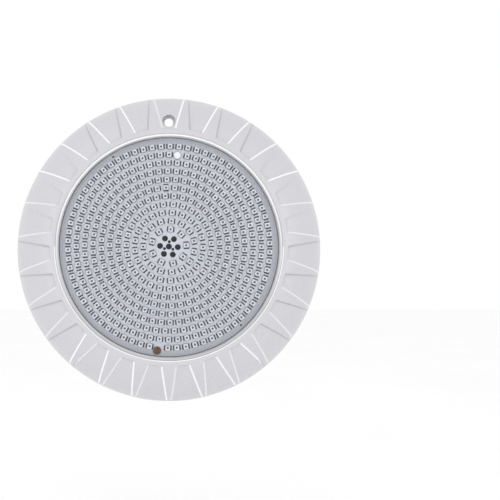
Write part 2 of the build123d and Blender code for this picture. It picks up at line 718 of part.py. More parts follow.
os.makedirs("parts", exist_ok=True)
for name, shape in nodes().items():
    save(name, Compound(children=shape) if isinstance(shape, list) else shape)
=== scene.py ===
import json
from math import atan2, cos, hypot, pi, radians, sin

import bmesh
import bpy
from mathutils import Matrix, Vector

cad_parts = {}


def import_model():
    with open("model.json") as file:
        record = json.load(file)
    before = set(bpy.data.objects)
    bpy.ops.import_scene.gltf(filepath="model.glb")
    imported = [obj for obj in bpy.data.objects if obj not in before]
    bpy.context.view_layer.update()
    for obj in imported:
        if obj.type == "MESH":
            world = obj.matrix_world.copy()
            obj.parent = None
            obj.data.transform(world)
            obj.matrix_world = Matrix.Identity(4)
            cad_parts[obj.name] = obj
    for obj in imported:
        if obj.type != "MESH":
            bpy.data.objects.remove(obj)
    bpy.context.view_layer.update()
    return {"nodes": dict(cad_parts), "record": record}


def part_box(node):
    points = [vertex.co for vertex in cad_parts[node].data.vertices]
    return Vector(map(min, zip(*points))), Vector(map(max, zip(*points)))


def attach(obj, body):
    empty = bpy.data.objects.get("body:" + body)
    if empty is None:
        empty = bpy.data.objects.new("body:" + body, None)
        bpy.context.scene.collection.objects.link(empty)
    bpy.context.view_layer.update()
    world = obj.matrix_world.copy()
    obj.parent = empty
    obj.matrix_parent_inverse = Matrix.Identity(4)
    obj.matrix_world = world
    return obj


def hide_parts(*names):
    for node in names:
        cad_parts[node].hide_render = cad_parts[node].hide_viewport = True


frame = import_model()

MM = 0.001

# ---- places taken from the frame ----------------------------------------------------------------
# Lamp coordinates are (x, y, z): x to the right, y up the wall and z out of the wall.
RING_LOW, RING_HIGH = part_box("face_ring")
OUTER_RADIUS = RING_HIGH.x
DEPTH = -RING_LOW.y
RIM_GAP = -RING_HIGH.y
RESIN_LOW, RESIN_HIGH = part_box("clear_resin")
RESIN_RADIUS = RESIN_HIGH.x
RESIN_FRONT = -RESIN_LOW.y
BOARD_FRONT = -RESIN_HIGH.y
LED_TOP = -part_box("led_ring_01")[0].y
WINDOW_RADIUS = RESIN_RADIUS + 3.1 * MM     # the collar just laps over the housing's rim


# ---- materials ----------------------------------------------------------------------------------
class Paint:
    """A node material with a Principled shader and a few helpers."""

    def __init__(self, name, colour=(1.0, 1.0, 1.0), roughness=0.5, metallic=0.0, **sockets):
        self.material = bpy.data.materials.new(name)
        self.material.use_nodes = True
        self.tree = self.material.node_tree
        self.shader = self.tree.nodes["Principled BSDF"]
        self.set("Base Color", (*colour, 1.0))
        self.set("Roughness", roughness)
        self.set("Metallic", metallic)
        for socket, value in sockets.items():
            self.set(socket.replace("_", " "), value)
        self.colour = colour

    def set(self, socket, value):
        self.shader.inputs[socket].default_value = value

    def node(self, kind, **values):
        made = self.tree.nodes.new(kind)
        for key, value in values.items():
            made.inputs[key].default_value = value
        return made

    def link(self, source, target):
        self.tree.links.new(source, target)

    def place(self):
        return self.node("ShaderNodeTexCoord").outputs["Object"]

    def noise(self, scale, detail=3.0):
        made = self.node("ShaderNodeTexNoise", Scale=scale, Detail=detail)
        self.link(self.place(), made.inputs["Vector"])
        return made.outputs["Fac"]

    def math(self, operation, *values):
        """Arithmetic on sockets and plain numbers."""
        made = self.tree.nodes.new("ShaderNodeMath")
        made.operation = operation
        for value, socket in zip(values, made.inputs):
            if isinstance(value, bpy.types.NodeSocket):
                self.link(value, socket)
            else:
                socket.default_value = value
        return made.outputs["Value"]

    def spread(self, source, low, high, to_low=0.0, to_high=1.0):
        """The source's values from low to high, moved to run from to_low to to_high and held beyond."""
        made = self.node("ShaderNodeMapRange")
        for key, value in (("From Min", low), ("From Max", high), ("To Min", to_low), ("To Max", to_high)):
            made.inputs[key].default_value = value
        self.link(source, made.inputs["Value"])
        return made.outputs["Result"]

    def distance(self, point=(0.0, 0.0, 0.0)):
        """How far each place is from a point of the row frame."""
        made = self.tree.nodes.new("ShaderNodeVectorMath")
        made.operation = "DISTANCE"
        made.inputs[1].default_value = point
        self.link(self.place(), made.inputs[0])
        return made.outputs["Value"]

    def vary_colour(self, scale, darker, lighter):
        """Lets the colour drift between two tints of the base colour."""
        ramp = self.tree.nodes.new("ShaderNodeValToRGB")
        stops = ((0.3, darker), (0.7, lighter))
        for element, (position, tint) in zip(ramp.color_ramp.elements, stops):
            element.position = position
            element.color = (*[min(c * tint, 1.0) for c in self.colour], 1.0)
        self.link(self.noise(scale), ramp.inputs["Fac"])
        self.link(ramp.outputs["Color"], self.shader.inputs["Base Color"])
        return self

    def vary_roughness(self, scale, low, high):
        self.link(self.spread(self.noise(scale, 4.0), 0.0, 1.0, low, high), self.shader.inputs["Roughness"])
        return self

    def bump(self, scale, distance, strength):
        made = self.node("ShaderNodeBump", Strength=strength, Distance=distance)
        self.link(self.noise(scale), made.inputs["Height"])
        self.link(made.outputs["Normal"], self.shader.inputs["Normal"])
        return self

    def surface(self, source):
        """Puts another shader in place of the Principled one."""
        self.link(source, self.tree.nodes["Material Output"].inputs["Surface"])
        self.tree.nodes.remove(self.shader)
        return self.material


MOULDED_GRAIN = {"scale": 900.0, "distance": 0.00002, "strength": 0.25}


def glossy_abs(name, colour):
    paint = Paint(name, colour, 0.28, IOR=1.5)
    paint.vary_colour(14.0, 0.985, 1.01).vary_roughness(60.0, 0.22, 0.34)
    return paint.bump(**MOULDED_GRAIN).material


# Each pair is where the rim's painted highlight and painted shade start and where they are full.
RIM_FRONT = (2.0 * MM, 1.0 * MM)        # the rim's painted highlight and shade, behind the resin's front
RIM_STRIP = (1.3 * MM, 1.8 * MM)        # the painted highlight strip, outside the resin's radius
RIM_HEIGHTS = (-55.0 * MM, 45.0 * MM)   # the painted highlight's strength, from the lamp's middle up
# the colours of the rim's painted shade and painted highlight
RIM_SHADE = (0.47, 0.47, 0.485, 1.0)
RIM_HIGHLIGHT = (0.84, 0.84, 0.85, 1.0)


def housing_abs():
    """The rim shows in front: a painted highlight strip that fades into painted shade below the middle, and
    a grey inner edge of painted shade.
    """
    paint = Paint("housing_abs", (0.72, 0.72, 0.74), 0.3, IOR=1.5)
    paint.vary_roughness(60.0, 0.24, 0.36)
    split = paint.tree.nodes.new("ShaderNodeSeparateXYZ")
    paint.link(paint.place(), split.inputs[0])
    on_rim = paint.spread(split.outputs["Y"], *[back - RESIN_FRONT for back in RIM_FRONT])
    bright = paint.spread(paint.math("MULTIPLY", split.outputs["Z"], on_rim), *RIM_HEIGHTS)
    strip = paint.spread(paint.distance(), *[hypot(RESIN_RADIUS + out, RESIN_FRONT) for out in RIM_STRIP])
    behind = paint.math("MULTIPLY_ADD", on_rim, -1.0, 1.0)
    rim_light = paint.math("MULTIPLY", bright, paint.math("MAXIMUM", behind, strip))
    # the ramp paints the rim grey where it is shaded and white where it is lit
    ramp = paint.tree.nodes.new("ShaderNodeValToRGB")
    ramp.color_ramp.elements[0].color = RIM_SHADE
    ramp.color_ramp.elements[1].color = RIM_HIGHLIGHT
    paint.link(rim_light, ramp.inputs["Fac"])
    paint.link(ramp.outputs["Color"], paint.shader.inputs["Base Color"])
    return paint.bump(**MOULDED_GRAIN).material


def satin_abs():
    paint = Paint("bracket_abs", (0.72, 0.72, 0.72), 0.42, IOR=1.5)
    paint.vary_colour(18.0, 0.96, 1.02).vary_roughness(80.0, 0.36, 0.5)
    return paint.bump(1400.0, 0.00005, 0.4).material


def stainless():
    paint = Paint("stainless", (0.62, 0.61, 0.59), 0.26, 1.0)
    paint.vary_roughness(220.0, 0.18, 0.38)
    return paint.bump(1600.0, 0.00002, 0.4).material


EDGE_SHADE = (88.5 * MM, 97.0 * MM)     # painted shade of the housing's rim, from the first radius to the second
# how dark the painted shade of the rim makes the board's edge
EDGE_SHADE_TONE = 0.62
PLUG_SHADOW = (0.4 * MM, 1.0 * MM)       # painted shadow of the plug: dark up to the first distance from it, clear from the second
# how dark the plug's painted shadow makes the board
PLUG_SHADOW_TONE = 0.5


def solder_mask():
    """White over copper, with painted shade darkening it towards the edge and a thin line of painted shadow
    round the plug.
    """
    paint = Paint("board", (0.555, 0.57, 0.622), 0.4)
    paint.vary_colour(35.0, 0.97, 1.02).vary_roughness(120.0, 0.3, 0.42)
    edge_radii = [hypot(radius, BOARD_FRONT) for radius in EDGE_SHADE]
    edge = paint.spread(paint.distance(), *edge_radii, 1.0, EDGE_SHADE_TONE)
    low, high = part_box("fill_plug")
    plug = ((low.x + high.x) / 2, -BOARD_FRONT, (low.z + high.z) / 2)
    plug_radii = [(high.x - low.x) / 2 + gap for gap in PLUG_SHADOW]
    line = paint.spread(paint.distance(plug), *plug_radii, PLUG_SHADOW_TONE, 1.0)
    # the painted shade and painted shadow scale the mottled colour down
    board_shade = paint.tree.nodes.new("ShaderNodeVectorMath")
    board_shade.operation = "SCALE"
    mottled = paint.shader.inputs["Base Color"].links[0].from_socket
    paint.link(mottled, board_shade.inputs[0])
    paint.link(paint.math("MULTIPLY", edge, line), board_shade.inputs["Scale"])
    paint.link(board_shade.outputs["Vector"], paint.shader.inputs["Base Color"])
    return paint.bump(700.0, 0.00003, 0.3).material


def silicone():
    paint = Paint("white_silicone", (0.80, 0.80, 0.81), 0.5)
    return paint.vary_colour(300.0, 0.97, 1.02).bump(1500.0, 0.00004, 0.5).material


def brown_disc():
    paint = Paint("brown_disc", (0.09, 0.036, 0.015), 0.38)
    return paint.vary_colour(900.0, 0.35, 1.7).bump(1800.0, 0.0001, 0.7).material


HEAD_ON_GLOSS = 0.025       # the share of light the resin reflects when seen square on
GRAZING_POWER = 5.0         # how late the share grows as the view gets flatter


def resin_surface():
    """The resin's front: clear, with the gloss of cast epoxy."""
    paint = Paint("clear_resin")
    clear = paint.node("ShaderNodeBsdfTransparent", Color=(0.985, 0.99, 1.0, 1.0))
    gloss = paint.node("ShaderNodeBsdfGlossy", Color=(1.0, 1.0, 1.0, 1.0), Roughness=0.05)
    ripple = paint.node("ShaderNodeBump", Strength=0.2, Distance=0.00003)
    paint.link(paint.noise(45.0, 2.0), ripple.inputs["Height"])
    paint.link(ripple.outputs["Normal"], gloss.inputs["Normal"])
    slant = paint.node("ShaderNodeLayerWeight", Blend=0.5)
    steep = paint.math("POWER", slant.outputs["Facing"], GRAZING_POWER)
    share = paint.math("MULTIPLY_ADD", steep, 1 - HEAD_ON_GLOSS, HEAD_ON_GLOSS)
    mix = paint.tree.nodes.new("ShaderNodeMixShader")
    paint.link(share, mix.inputs[0])
    paint.link(clear.outputs["BSDF"], mix.inputs[1])
    paint.link(gloss.outputs["BSDF"], mix.inputs[2])
    return paint.surface(mix.outputs["Shader"])


def resin_inside():
    """The resin's faces against the board and the housing, where nothing is seen of it."""
    paint = Paint("clear_resin_inside")
    clear = paint.node("ShaderNodeBsdfTransparent", Color=(1.0, 1.0, 1.0, 1.0))
    return paint.surface(clear.outputs["BSDF"])


def potting():
    paint = Paint("dark_potting", (0.006, 0.006, 0.008), 0.3, Specular_IOR_Level=0.25)
    return paint.vary_roughness(300.0, 0.2, 0.4).bump(300.0, 0.0002, 0.4).material


def plain(name, colour, roughness, metallic=0.0, scale=400.0):
    """Small parts: a slightly mottled, slightly uneven finish."""
    paint = Paint(name, colour, roughness, metallic)
    paint.vary_colour(scale, 0.85, 1.12)
    paint.vary_roughness(scale * 0.7, roughness * 0.8, min(roughness * 1.3, 1.0))
    return paint.bump(scale * 3, 0.00003, 0.4).material


MATERIALS = {
    "white_abs": glossy_abs("white_abs", (0.555, 0.55, 0.58)),
    "bracket_abs": satin_abs(),
    "stainless": stainless(),
    "board": solder_mask(),
    "white_silicone": silicone(),
    "brown_disc": brown_disc(),
    "clear_resin": resin_surface(),
    "dark_potting": potting(),
    "driver_laminate": plain("driver_laminate", (0.02, 0.13, 0.05), 0.4),
    "black_epoxy": plain("black_epoxy", (0.02, 0.02, 0.022), 0.5),
    "capacitor_can": plain("capacitor_can", (0.05, 0.06, 0.09), 0.3),
    "ferrite": plain("ferrite", (0.05, 0.05, 0.055), 0.6),
    "green_plastic": plain("green_plastic", (0.03, 0.22, 0.07), 0.4),
    "red_wire": plain("red_wire", (0.5, 0.02, 0.015), 0.4),
    "black_wire": plain("black_wire", (0.02, 0.02, 0.02), 0.4),
    "gland_plastic": plain("gland_plastic", (0.03, 0.03, 0.032), 0.45),
    "black_rubber": plain("black_rubber", (0.018, 0.018, 0.018), 0.7),
    "led_package": plain("led_package", (0.56, 0.57, 0.615), 0.4),
}
PLAIN, PAINTED_HIGHLIGHT, SOFT_PAINTED_HIGHLIGHT, PAINTED_SHADE = range(4)      # places in the ring's list of plain colour, painted highlights and painted shade
# the ring's white, and lighter and darker copies of it painted on the ribs' walls as highlights and shade
RING_PAINTED_LIGHT = [
    MATERIALS["white_abs"],
    glossy_abs("white_abs_painted_highlight", (0.86, 0.86, 0.88)),
    glossy_abs("white_abs_soft_painted_highlight", (0.72, 0.72, 0.745)),
    glossy_abs("white_abs_painted_shade", (0.45, 0.445, 0.47)),
]
LED_LIP = plain("led_lip", (0.71, 0.725, 0.765), 0.35)
LED_WELL = plain("led_well", (0.1, 0.1, 0.107), 0.3)
# dark grey: painted shadow round each LED's foot and on its sides, and the dark seam of its groove
LED_SEAM_AND_SHADOW = plain("led_seam_and_shadow", (0.20, 0.205, 0.225), 0.4)
# near black: the solder, with painted shadow and the dark it reflects painted into its colour
LED_SOLDER_AND_SHADOW = plain("led_solder_and_shadow", (0.006, 0.006, 0.008), 0.45)
RESIN_INSIDE = resin_inside()
OWN_LOOK = {"lamp_housing": housing_abs()}      # nodes whose look differs from their slot's: the housing's rim has painted highlight and shade

for entry in frame["record"]["subparts"]:
    node = frame["nodes"][entry["node"]]
    node.data.materials.clear()
    node.data.materials.append(OWN_LOOK.get(entry["node"], MATERIALS[entry["material_slot"]]))


# ---- mesh helpers -------------------------------------------------------------------------------
def clock(radius, angle):
    """The x and y of a point on the face at this radius and clock angle in degrees."""
    return radius * sin(radians(angle)), radius * cos(radians(angle))


def row_point(x, y, z):
    """A point in lamp coordinates as the row frame has it."""
    return Vector((x, -z, y))


def build(name, points, faces, body, slot, materials=None, indices=None, smooth=True):
    """A mesh piece from points in lamp coordinates."""
    mesh = bpy.data.meshes.new(name)
    mesh.from_pydata([row_point(*p) for p in points], [], faces)
    for material in materials or [MATERIALS[slot]]:
        mesh.materials.append(material)
    if indices:
        mesh.polygons.foreach_set("material_index", indices)
    mesh.polygons.foreach_set("use_smooth", [smooth] * len(mesh.polygons))
    work = bmesh.new()
    work.from_mesh(mesh)
    bmesh.ops.delete(work, geom=[v for v in work.verts if not v.link_faces], context="VERTS")
    bmesh.ops.recalc_face_normals(work, faces=work.faces)
    work.to_mesh(mesh)
    work.free()
    piece = bpy.data.objects.new(name, mesh)
    bpy.context.scene.collection.objects.link(piece)
    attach(piece, body)
    return piece


def grid_faces(rows, columns, first=0, close_rows=False, open_cells=()):
    """Quads over a grid whose columns close on themselves, except over the open cells."""
    faces = []
    for j in range(rows if close_rows else rows - 1):
        for i in range(columns):
            a = first + j * columns
            b = first + ((j + 1) % rows) * columns
            n = (i + 1) % columns
            if (j, i) not in open_cells:
                faces.append((a + i, a + n, b + n, b + i))
    return faces


def zip_loops(points, one, other, x, y):
    """Triangles between two closed loops of point numbers that both run round the point x, y."""
    def by_angle(loop):
        turned = sorted((atan2(points[v][0] - x, points[v][1] - y) % (2 * pi), v) for v in loop)
        return turned + [(turned[0][0] + 2 * pi, turned[0][1])]

    a, b = by_angle(one), by_angle(other)
    i = j = 0
    faces = []
    while i < len(a) - 1 or j < len(b) - 1:
        step_one = j == len(b) - 1 or (i < len(a) - 1 and a[i + 1][0] <= b[j + 1][0])
        if step_one:
            faces.append((a[i][1], a[i + 1][1], b[j][1]))
            i += 1
        else:
            faces.append((a[i][1], b[j + 1][1], b[j][1]))
            j += 1
    return faces


def add_rings(points, faces, centre, rings, segments):
    """Stacks circles round a centre, each (radius, height or a function of x and y).

    Returns the point numbers of the first circle and of the last."""
    first = len(points)
    for radius, height in rings:
        for i in range(segments):
            dx, dy = clock(radius, 360 * i / segments)
            x, y = centre[0] + dx, centre[1] + dy
            points.append((x, y, height(x, y) if callable(height) else height))
    faces += grid_faces(len(rings), segments, first)
    last = first + (len(rings) - 1) * segments
    return list(range(first, first + segments)), list(range(last, last + segments))


def smoothstep(x):
    x = min(max(x, 0.0), 1.0)
    return x * x * (3 - 2 * x)


# ---- face ring ----------------------------------------------------------------------------------
RIBS = 27
PITCH = 360 / RIBS
RIB_ROOT_RADIUS = 107.0 * MM
RIB_ROOT_HALF = 6.7 * MM
RIB_TIP_HALF = 1.7 * MM
RIB_WALL = 2.4 * MM
PANEL_DEPTH = 1.8 * MM
PANEL_TIP_DEPTH = 0.4 * MM
PANEL_START = 1.1 * MM      # the panels sink over this distance from the ribs' roots
PANEL_END = 0.9             # and come level with the ribs at this share of the dome
PANEL_FADE = 0.17           # after fading over this share of it
COLLAR_EDGE = 0.8 * MM
COLLAR_RADIUS = 105.5 * MM
RIM_HEIGHT = 8.0 * MM
RING_WALL = 3.0 * MM
INSIDE_RADIUS = OUTER_RADIUS - RING_WALL
SKIRT = WINDOW_RADIUS + 3.0 * MM
SKIRT_BACK = 30.0 * MM
SKIRT_TOP = DEPTH - PANEL_DEPTH - 3.4 * MM
HOLLOW_START = SKIRT + 2.0 * MM
HOLLOW_TOP = DEPTH - PANEL_DEPTH - 2.7 * MM
DOME_SPREAD = 1.3           # the dome's section: across ** 1.3 + along ** 2.28 = 1
DOME_RISE = 2.28
HALVINGS = 30
WINDOW_ROWS = (40.0 * MM, 50.0 * MM)
EDGE_ROWS = 6
DOME_STEPS = [0.0, 0.03, 0.06]      # rows of the dome, close together where the panels start
DOME_STEPS += [0.075 + 0.012 * i for i in range(10)]
DOME_STEPS += [0.2 + 0.8 * i / 52 for i in range(53)]
HOLLOW_ROWS = 40
WALL_COLUMNS = 7
PANEL_COLUMNS = 8
TOP_COLUMNS = 4
HOLE_RADIUS = 115.4 * MM    # the screw hole's distance from the axis
HOLE = 4.1 * MM
MOUTH = 6.0 * MM
SEAT = 42.0 * MM
SEAT_FLOOR = SEAT - 2.5 * MM
CUP = 7.2 * MM
HOLE_SEGMENTS = 72
FRONT_PATCH = (HOLE_RADIUS - 7.0 * MM, HOLE_RADIUS + 7.4 * MM)      # radii between which the hole's circles
BACK_PATCH = (SKIRT + 1.9 * MM, HOLE_RADIUS + 8.6 * MM)             # take the place of the ring's grid
LUGS = 8
LUG_RADIUS = 116.0 * MM
BOSS_RADIUS = 4.5 * MM
BOSS_SEGMENTS = 32
SCREW_HOLE = 1.95 * MM
SCREW_HOLE_DEPTH = 6.0 * MM
HANGER_SCREW = (12.0 * MM, -115.5 * MM)
HANGER_FRONT = -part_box("hanger_plate")[0].y


def dome_point(inner, top, outer, foot, t):
    """A point (radius, height) of the dome's section, t from 0 at the collar to 1 at the rim."""
    angle = pi / 2 * (1 - t)
    across = max(cos(angle), 0.0) ** (2 / DOME_SPREAD)
    along = sin(angle) ** (2 / DOME_RISE)
    return inner + (outer - inner) * across, foot + (top - foot) * along


def outer_dome(t):
    return dome_point(COLLAR_RADIUS, DEPTH, OUTER_RADIUS, RIM_HEIGHT, t)


def dome_normal(t):
    (r0, z0), (r1, z1) = outer_dome(max(t - 0.01, 0.0)), outer_dome(min(t + 0.01, 1.0))
    length = hypot(r1 - r0, z1 - z0)
    return (z0 - z1) / length, (r1 - r0) / length


def rib_half(radius):
    """Half the width of a rib's top at this radius."""
    share = (radius - RIB_ROOT_RADIUS) / (OUTER_RADIUS - RIB_ROOT_RADIUS)
    return RIB_ROOT_HALF + (RIB_TIP_HALF - RIB_ROOT_HALF) * min(max(share, 0.0), 1.0) - RIB_WALL / 2


def panel_depth(t, radius):
    """How far the panels lie below the ribs at this place on the dome."""
    depth = PANEL_DEPTH + (PANEL_TIP_DEPTH - PANEL_DEPTH) * t
    start = smoothstep((radius - RIB_ROOT_RADIUS) / PANEL_START)
    end = smoothstep((PANEL_END - t) / PANEL_FADE)
    return depth * start * end


def rib_columns(radius):
    """Angles in degrees from a rib's middle to the next panel's middle, and how much each is panel."""
    top = rib_half(radius) / max(radius, RIB_ROOT_RADIUS) / radians(1)
    wall = RIB_WALL / max(radius, RIB_ROOT_RADIUS) / radians(1)
    edge = top + wall
    columns = [(top * i / TOP_COLUMNS, 0.0) for i in range(TOP_COLUMNS)]
    for i in range(WALL_COLUMNS + 1):
        columns.append((top + wall * i / WALL_COLUMNS, smoothstep(i / WALL_COLUMNS)))
    for i in range(1, PANEL_COLUMNS + 1):
        columns.append((edge + (PITCH / 2 - edge) * i / PANEL_COLUMNS, 1.0))
    return columns


def around(radius):
    """The angles and panel shares of one full turn, which starts in the middle of a panel."""
    half = rib_columns(radius)
    one = [(-a, s) for a, s in half[:0:-1]] + half[:-1]
    return [(PITCH * (k + 0.5) + a, s) for k in range(RIBS) for a, s in one]


def inner_dome(t):
    """The hollow side's section."""
    return dome_point(HOLLOW_START, HOLLOW_TOP, INSIDE_RADIUS, RIM_HEIGHT, t)


def reach(dome, radius):
    """The t at which a dome's section comes to this radius."""
    low, high = 0.0, 1.0
    for _ in range(HALVINGS):
        middle = (low + high) / 2
        if dome(middle)[0] < radius:
            low = middle
        else:
            high = middle
    return low


def front_height(x, y):
    """Height of the ring's front at a place seen square on."""
    radius = hypot(x, y)
    t = reach(outer_dome, radius)
    offset = abs((atan2(x, y) / radians(1)) % PITCH - PITCH / 2)
    share = smoothstep((radians(offset) * radius - rib_half(radius)) / RIB_WALL)
    return outer_dome(t)[1] - panel_depth(t, radius) * share / dome_normal(t)[1]


def back_height(x, y):
    """Height of the ring's hollow side at a place seen square on."""
    return inner_dome(reach(inner_dome, hypot(x, y)))[1]


def ring_rows():
    """The closed section of the ring: (radius, height, normal, panel depth) for each row."""
    front = [(WINDOW_RADIUS, z) for z in (SKIRT_BACK, *WINDOW_ROWS, DEPTH - COLLAR_EDGE)]
    for i in range(1, EDGE_ROWS + 1):
        a = pi / 2 * i / EDGE_ROWS
        front.append((WINDOW_RADIUS + COLLAR_EDGE * (1 - cos(a)), DEPTH - COLLAR_EDGE * (1 - sin(a))))
    front.append((COLLAR_RADIUS - 0.6 * MM, DEPTH))
    rim = [(OUTER_RADIUS, RIM_GAP + 1.0 * MM), (OUTER_RADIUS - 0.15 * MM, RIM_GAP + 0.3 * MM),
           (OUTER_RADIUS - 0.6 * MM, RIM_GAP), (INSIDE_RADIUS + 0.5 * MM, RIM_GAP),
           (INSIDE_RADIUS, RIM_GAP + 0.5 * MM)]
    hollow = [inner_dome(1 - i / HOLLOW_ROWS) for i in range(HOLLOW_ROWS + 1)]
    skirt = [(SKIRT, SKIRT_TOP), (SKIRT, SKIRT_BACK + 0.4 * MM), (SKIRT - 0.4 * MM, SKIRT_BACK)]

    def plain_rows(section):
        return [(radius, height, (0.0, 1.0), 0.0) for radius, height in section]

    dome = []
    for t in DOME_STEPS:
        radius, height = outer_dome(t)
        dome.append((radius, height, dome_normal(t), panel_depth(t, radius)))
    return plain_rows(front) + dome + plain_rows(rim + hollow + skirt)


def patch(rows, columns, side, radii, across):
    """A patch at twelve o'clock, on the front (side 1) or the back (-1): its outline and its cells."""
    rim_row = next(j for j, row in enumerate(rows) if row[0] == OUTER_RADIUS and row[1] < RIM_HEIGHT)
    numbers = range(rim_row) if side == 1 else range(rim_row, len(rows))
    near, far = radii
    inside = [j for j in numbers if near <= rows[j][0] <= far and rows[j][1] > SKIRT_BACK]
    first, last = min(inside), max(inside)

    def corner(j, c):
        return j * columns + c % columns

    loop = [corner(j, c) for j in (first, last) for c in range(-across, across + 1)]
    loop += [corner(j, c) for j in range(first + 1, last) for c in (-across, across)]
    return loop, {(j, c % columns) for j in range(first, last) for c in range(-across, across)}


# A wall's painted highlight and painted shade go by two angles in degrees: how far it faces from straight
# up, and how far round from twelve o'clock it stands.
WALL_ACROSS, WALL_OUT = 0.9, 0.35       # how much a wall faces round the ring and outwards
FACES_UP, FACES_SIDEWAYS, FACES_DOWN = 66, 107, 150
BESIDE_HOLE, TOP_QUARTER, TOP_THIRD, LOWER_HALF, BOTTOM_QUARTER = 10, 45, 60, 90, 135
# walls that face up get painted highlights, walls that face down get painted shade
TINTED_DEPTH = 0.4 * MM     # walls lower than this stay plain
TINTED_SHARE = 0.05         # and so do the top and bottom twentieths of each wall


def from_twelve(angle):
    """How far round from twelve o'clock a clock angle is, in degrees."""
    return abs((angle + 180) % 360 - 180)


def wall_tone(angle, side):
    """The painted highlight and shade of a rib's wall that faces clockwise (side 1) or the other way, as a
    place in the ring's list of painted light.
    """
    tangent = radians(angle + 90 * side)
    x = WALL_ACROSS * sin(tangent) + WALL_OUT * sin(radians(angle))
    y = WALL_ACROSS * cos(tangent) + WALL_OUT * cos(radians(angle))
    facing = abs(atan2(x, y)) / radians(1)
    stands = from_twelve(angle)
    if facing < FACES_UP:
        return SOFT_PAINTED_HIGHLIGHT if stands >= TOP_THIRD or (side == 1 and stands < BESIDE_HOLE) else PAINTED_HIGHLIGHT
    if stands > BOTTOM_QUARTER and facing < FACES_DOWN:
        return PAINTED_HIGHLIGHT if side == 1 else SOFT_PAINTED_HIGHLIGHT
    if facing > FACES_DOWN or (stands < TOP_QUARTER and facing < FACES_SIDEWAYS):
        return PAINTED_SHADE
    return PLAIN


def ring_tones(rows, columns, open_cells):
    """The painted highlight and shade of every face of the ring's grid, in the order in which grid_faces
    makes them.
    """
    tones = []
    for j, (radius, height, _, depth) in enumerate(rows):
        turn = around(radius)
        on_edge = radius < WINDOW_RADIUS + COLLAR_EDGE and height >= DEPTH - COLLAR_EDGE
        for i in range(columns):
            if (j, i) in open_cells:
                continue
            (angle, share), (_, following) = turn[i], turn[(i + 1) % columns]
            if on_edge:
                # the collar's inner edge gets a painted highlight below the lamp's middle
                tones.append(PAINTED_HIGHLIGHT if from_twelve(angle) > LOWER_HALF else PLAIN)
                continue
            rising = following - share
            middle = TINTED_SHARE < (share + following) / 2 < 1 - TINTED_SHARE
            steep = depth > TINTED_DEPTH and middle and rising
            tones.append(wall_tone(angle, 1 if rising > 0 else -1) if steep else PLAIN)
    return tones


def screw_hole():
    """The section of the recessed hole from the panel down to the hollow side, as circles for add_rings."""
    def below(drop):
        return lambda x, y: front_height(x, y) - drop

    def near_back(drop):
        return lambda x, y: back_height(x, y) - drop

    mouth = [(MOUTH + 0.6 * MM, below(0)), (MOUTH + 0.35 * MM, below(0.01 * MM)),
             (MOUTH + 0.12 * MM, below(0.1 * MM)), (MOUTH, below(0.35 * MM)), (MOUTH, below(1.0 * MM))]
    seat = [(MOUTH, SEAT + 0.4 * MM), (MOUTH - 0.1 * MM, SEAT + 0.1 * MM), (MOUTH - 0.4 * MM, SEAT),
            (HOLE + 0.35 * MM, SEAT), (HOLE + 0.1 * MM, SEAT - 0.1 * MM), (HOLE, SEAT - 0.35 * MM)]
    cup = [(HOLE, SEAT_FLOOR + 0.3 * MM), (HOLE + 0.3 * MM, SEAT_FLOOR), (CUP - 0.3 * MM, SEAT_FLOOR),
           (CUP, SEAT_FLOOR + 0.3 * MM), (CUP, near_back(0.6 * MM)), (CUP + 0.15 * MM, near_back(0))]
    return mouth + seat + cup


def ring_shell():
    """The ring as one closed mesh with its painted highlights and shade, and the recessed screw hole at
    twelve o'clock.
    """
    points = []
    rows = ring_rows()
    for radius, height, (out, up), depth in rows:
        for angle, share in around(radius):
            x, y = clock(radius - out * depth * share, angle)
            points.append((x, y, height - up * depth * share))
    columns = len(points) // len(rows)
    front, front_cells = patch(rows, columns, 1, FRONT_PATCH, PANEL_COLUMNS)
    back, back_cells = patch(rows, columns, -1, BACK_PATCH, PANEL_COLUMNS + WALL_COLUMNS)
    open_cells = front_cells | back_cells
    faces = grid_faces(len(rows), columns, close_rows=True, open_cells=open_cells)
    tones = ring_tones(rows, columns, open_cells)
    mouth, foot = add_rings(points, faces, (0.0, HOLE_RADIUS), screw_hole(), HOLE_SEGMENTS)
    faces += zip_loops(points, front, mouth, 0.0, HOLE_RADIUS)
    faces += zip_loops(points, back, foot, 0.0, HOLE_RADIUS)
    return points, faces, tones + [PLAIN] * (len(faces) - len(tones))


def face_ring():
    points, faces, tones = ring_shell()
    ring = build("face_ring_moulding", points, faces, "lamp", "white_abs", RING_PAINTED_LIGHT, tones)
    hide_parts("face_ring")


def boss(points, faces, x, y, end):
    """A screw boss under the ring, from its end up into the ring's wall."""
    def above_back(rise):
        return lambda px, py: back_height(px, py) + rise

    rings = [(SCREW_HOLE, end + SCREW_HOLE_DEPTH), (SCREW_HOLE, end + 0.2 * MM),
             (SCREW_HOLE + 0.2 * MM, end), (BOSS_RADIUS - 0.3 * MM, end), (BOSS_RADIUS, end + 0.3 * MM),
             (BOSS_RADIUS, above_back(-0.8 * MM)), (BOSS_RADIUS + 0.25 * MM, above_back(-0.2 * MM)),
             (BOSS_RADIUS + 0.8 * MM, above_back(0.5 * MM))]
    floor, top = add_rings(points, faces, (x, y), rings, BOSS_SEGMENTS)
    faces.append(tuple(floor))
    faces.append(tuple(top))


def ring_bosses():
    """The bosses that the housing and the hanger plate screw into."""
    points, faces = [], []
    for i in range(LUGS):
        boss(points, faces, *clock(LUG_RADIUS, 360 / LUGS * (i + 0.5)), SKIRT_BACK)
    for side in (-1, 1):
        boss(points, faces, side * HANGER_SCREW[0], HANGER_SCREW[1], HANGER_FRONT)
    piece = build("ring_screw_bosses", points, faces, "lamp", "white_abs")
    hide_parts("face_ring")


face_ring()
ring_bosses()


